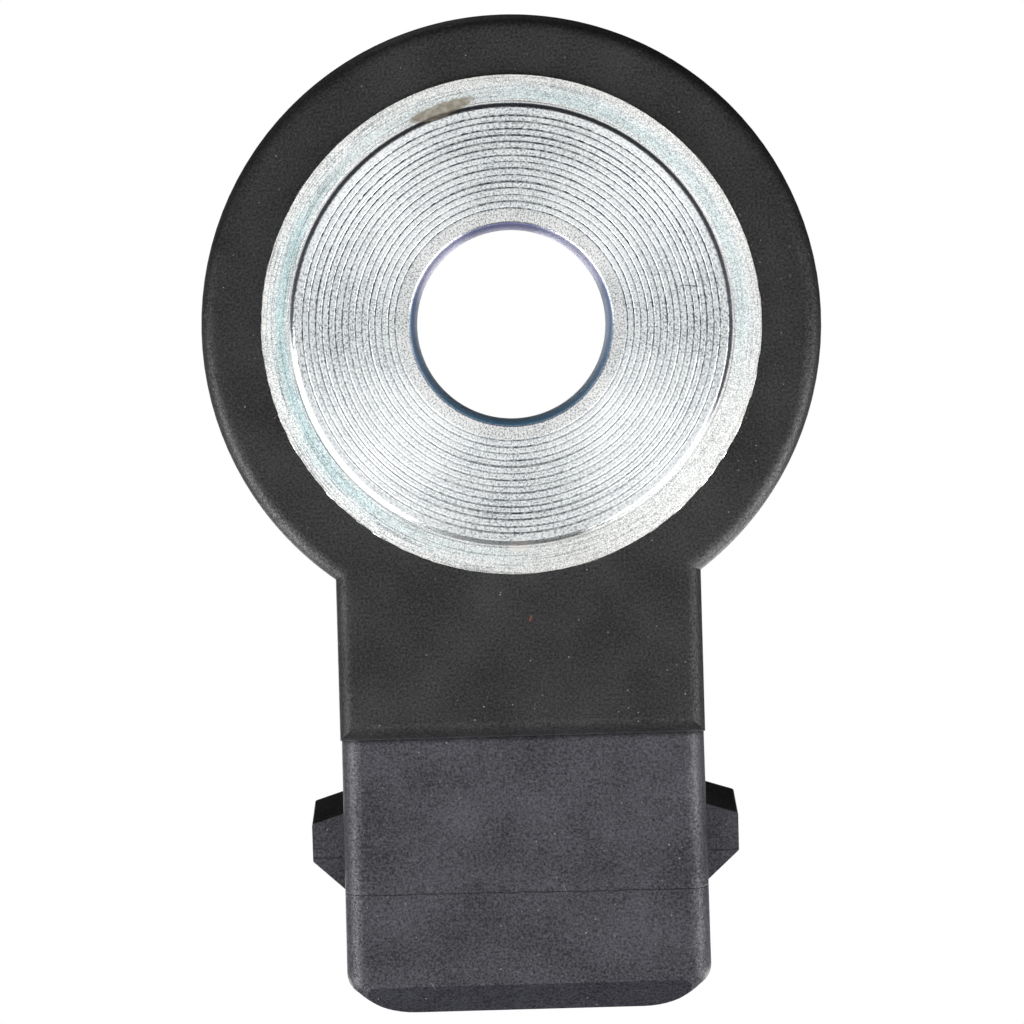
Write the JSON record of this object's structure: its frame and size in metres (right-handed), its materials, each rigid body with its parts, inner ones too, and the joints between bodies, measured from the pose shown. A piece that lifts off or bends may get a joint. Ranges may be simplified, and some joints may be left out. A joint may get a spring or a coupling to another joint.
{
  "type": "engine knock sensor",
  "caption": "Flat ring knock sensor: steel sleeve with a turned contact face and bolt bore, overmoulded in black plastic with a neck and an inclined blade-terminal plug shroud.",
  "frame": {"origin": "on the bolt bore's axis, in the mounting face that sits on the engine block", "axes": "+Z along the bore, away from the engine block; -Y the way the plug shroud points; +X to the right of somebody who looks along +Y"},
  "size_m": [0.0259, 0.0419, 0.018],
  "materials": {
    "moulded_nylon": "glass-filled nylon, fine moulded grain, matt black",
    "zinc_plated_steel": "turned steel, bright zinc plating with a pale blue cast",
    "insulating_film": "amber polymer film",
    "contact_brass": "punched brass strip",
    "piezo_ceramic": "fired and silvered ceramic",
    "plain_steel": "turned steel",
    "spring_steel": "hardened, phosphated",
    "tinned_brass": "tin plated, satin",
    "resistor_ceramic": "lacquered ceramic"
  },
  "bodies": {
    "root": {"housing": "moulded_nylon", "sleeve": "zinc_plated_steel", "insulating_tube": "insulating_film", "lower_insulating_washer": "insulating_film", "upper_insulating_washer": "insulating_film", "lower_contact_disc": "contact_brass", "upper_contact_disc": "contact_brass", "piezo_ring": "piezo_ceramic", "seismic_mass": "plain_steel", "disc_spring": "spring_steel", "ring_nut": "plain_steel", "terminal_left": "tinned_brass", "terminal_right": "tinned_brass", "resistor_rod": "resistor_ceramic", "resistor_cap_left": "tinned_brass", "resistor_cap_right": "tinned_brass"}
  },
  "joints": []
}
